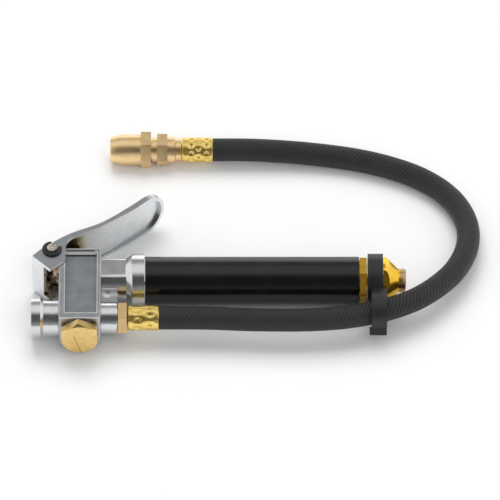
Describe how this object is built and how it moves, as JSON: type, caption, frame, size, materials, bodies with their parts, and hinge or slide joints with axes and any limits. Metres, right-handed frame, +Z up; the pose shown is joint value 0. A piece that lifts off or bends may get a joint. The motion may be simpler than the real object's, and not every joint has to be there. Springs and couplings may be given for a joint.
{
  "type": "portable tire inflator",
  "caption": "Hand-held air inflator with a cast squeeze valve, gauge handle and short whip hose with a tire chuck, lying on its side.",
  "frame": {"origin": "centre of the bottom of the tool as it lies on its side, without the hose and chuck", "axes": "+X along the handle from the air inlet to the tail, +Y towards the lever, +Z up from the bench"},
  "size_m": [0.2468, 0.1644, 0.0299],
  "materials": {
    "plated_zinc": "satin plated zinc casting",
    "lever_zinc": "satin plated zinc casting",
    "brass": "machined brass",
    "yellow_brass": "bright pressed brass",
    "gold_finish": "gold-coloured anodised metal",
    "steel": "plain turned steel",
    "black_steel": "black oxide spring steel",
    "black_tube": "smooth satin black plastic",
    "hose_rubber": "wrapped black rubber",
    "seal_rubber": "black nitrile rubber",
    "strap_plastic": "black moulded plastic",
    "clear_plastic": "clear plastic",
    "white_plastic": "off-white plastic"
  },
  "bodies": {
    "tool": {"valve_body": "plated_zinc", "pivot_pin": "steel", "retaining_ring": "black_steel", "stem_bush": "brass", "stem_ring": "seal_rubber", "valve_spring": "steel", "valve_plug": "brass", "plug_washer": "steel", "hose_nipple": "brass", "hose_ferrule": "yellow_brass", "hose": "hose_rubber", "chuck_ferrule": "yellow_brass", "chuck_tailpiece": "brass", "chuck_adapter": "brass", "chuck_body": "brass", "chuck_gasket": "seal_rubber", "depressor_pin": "brass", "handle_tube": "black_tube", "window_lens": "clear_plastic", "gauge_gland": "brass", "gland_ring": "seal_rubber", "gauge_cylinder": "brass", "gauge_spring": "steel", "tail_collar": "gold_finish", "tail_cap": "gold_finish", "vent_button": "gold_finish", "hose_clip": "strap_plastic"},
    "lever": {"lever": "lever_zinc"},
    "stem": {"valve_stem": "steel", "valve_seal": "seal_rubber", "valve_poppet": "brass"},
    "gauge": {"gauge_piston": "steel", "indicator_drum": "white_plastic"}
  },
  "joints": [
    {"name": "lever_pivot", "type": "hinge", "parent": "tool", "child": "lever", "pos_m": [-0.09125, 0.0039, 0.0149], "axis": [0, 0, -1], "range_deg": [0, 12], "stiffness_Nm_per_rad": 2.3},
    {"name": "stem_slide", "type": "slide", "parent": "tool", "child": "stem", "axis": [0, -1, 0], "range_m": [0, 0.0041], "deforming": ["valve_spring"]},
    {"name": "gauge_slide", "type": "slide", "parent": "tool", "child": "gauge", "axis": [1, 0, 0], "range_m": [0, 0.032], "stiffness_N_per_m": 200, "deforming": ["gauge_spring"]}
  ],
  "couplings": [
    {"joint": "stem_slide", "follows": "lever_pivot", "m_per_rad": 0.0193}
  ]
}
